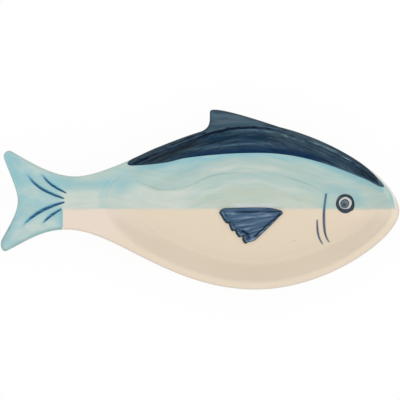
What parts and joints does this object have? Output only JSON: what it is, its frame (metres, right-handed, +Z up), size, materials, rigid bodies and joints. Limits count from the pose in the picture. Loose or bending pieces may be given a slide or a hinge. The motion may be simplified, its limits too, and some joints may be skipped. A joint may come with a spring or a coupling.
{
  "type": "fish trinket dish",
  "caption": "Shallow fish-shaped dish with a sloping well, flat rim, forked tail, back fin and foot ring, in glazed stoneware with painted washes, fins, eye and gill strokes.",
  "frame": {"origin": "middle of the dish's length and width, on the surface that its foot ring stands on", "axes": "+X towards the fish's nose, +Y towards its back fin, +Z up"},
  "size_m": [0.1992, 0.09, 0.0171],
  "materials": {
    "stoneware": "cream glaze over stoneware, softly glossy",
    "flank_blue": "pale blue wash under clear glaze, softly glossy",
    "tail_blue": "pale blue wash under clear glaze, softly glossy",
    "navy_slip": "brushed navy slip under clear glaze",
    "fin_slip": "brushed slate blue slip under clear glaze",
    "eye_slip": "dark slip under clear glaze",
    "eye_white": "off-white slip under clear glaze",
    "gill_slip": "thin brushed slate blue line under clear glaze",
    "tail_slip": "brushed blue line under clear glaze"
  },
  "bodies": {
    "root": {"clay_body": "stoneware", "flank_wash": "flank_blue", "tail_wash": "tail_blue", "back_paint": "navy_slip", "pectoral_fin": "fin_slip", "eye_ring": "eye_slip", "eye_white": "eye_white", "eye_pupil": "eye_slip", "gill_stroke_long": "gill_slip", "gill_stroke_short": "gill_slip", "tail_stroke_upper_long": "tail_slip", "tail_stroke_upper_short": "tail_slip", "tail_stroke_lower_long": "tail_slip", "tail_stroke_lower_short": "tail_slip"}
  },
  "joints": []
}
